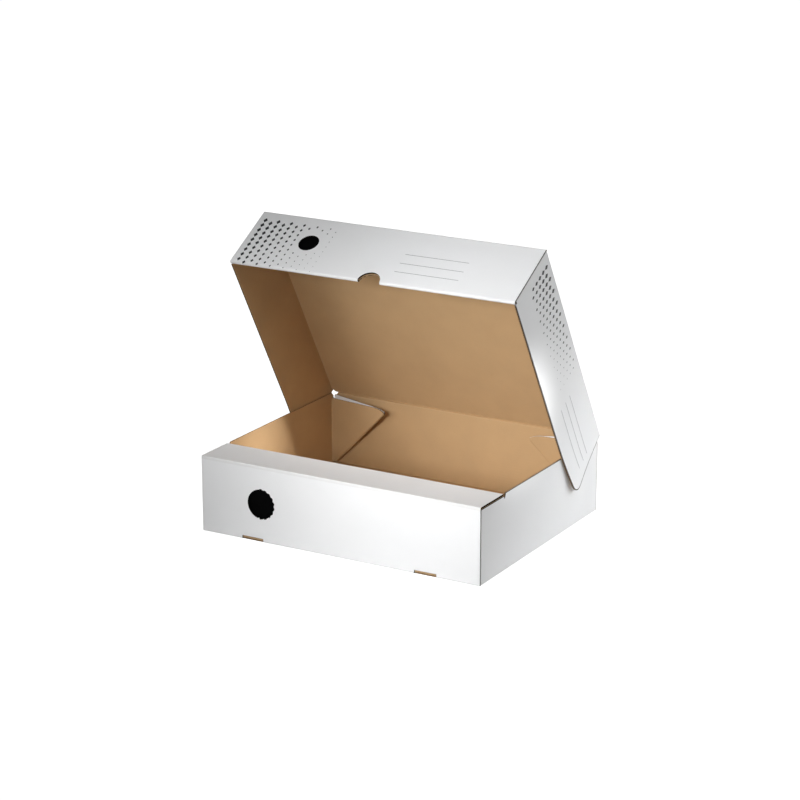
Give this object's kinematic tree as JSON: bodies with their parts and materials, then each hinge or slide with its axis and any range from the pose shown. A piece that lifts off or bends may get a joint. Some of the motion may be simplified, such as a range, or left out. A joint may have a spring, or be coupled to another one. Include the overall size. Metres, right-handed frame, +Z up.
{
  "type": "archive box",
  "caption": "Low archive box of folded corrugated board: a tray with a hollow locked front and finger hole, and a rear-hinged lid with deep overlapping skirts.",
  "frame": {"origin": "middle of the tray's underside", "axes": "+X along the box's length, -Y out of the front face with the finger hole, +Z up through the tray"},
  "size_m": [0.3542, 0.2815, 0.3356],
  "materials": {
    "white_lined_board": "matte white-lined corrugated board, kraft on its other face",
    "kraft_lined_board": "plain brown corrugated board"
  },
  "bodies": {
    "tray": {"tray_floor": "white_lined_board", "tray_front_wall": "white_lined_board", "tray_back_wall": "white_lined_board", "tray_left_wall": "white_lined_board", "tray_right_wall": "white_lined_board", "front_left_corner_flap": "kraft_lined_board", "front_right_corner_flap": "kraft_lined_board", "front_top_strip": "white_lined_board", "front_inner_wall": "kraft_lined_board", "front_foot_flap": "kraft_lined_board"},
    "rear_left_web": {"rear_left_web_inner": "kraft_lined_board", "rear_left_web_outer": "white_lined_board"},
    "rear_right_web": {"rear_right_web_inner": "kraft_lined_board", "rear_right_web_outer": "white_lined_board"},
    "lid": {"lid_top_panel": "white_lined_board", "lid_front_skirt": "white_lined_board", "lid_front_inner_skirt": "white_lined_board", "lid_left_skirt": "white_lined_board", "lid_right_skirt": "white_lined_board", "lid_left_corner_flap": "kraft_lined_board", "lid_right_corner_flap": "kraft_lined_board"}
  },
  "joints": [
    {"name": "lid_hinge", "type": "hinge", "parent": "tray", "child": "lid", "pos_m": [0, 0.14, 0.088], "axis": [-1, 0, 0], "range_deg": [-60, 120]},
    {"name": "rear_left_web_hinge", "type": "hinge", "parent": "tray", "child": "rear_left_web", "pos_m": [-0.1731, 0.1341, 0], "axis": [0, 0, -1], "range_deg": [-7, 70]},
    {"name": "rear_right_web_hinge", "type": "hinge", "parent": "tray", "child": "rear_right_web", "pos_m": [0.1731, 0.1341, 0], "axis": [0, 0, 1], "range_deg": [-7, 70]}
  ]
}
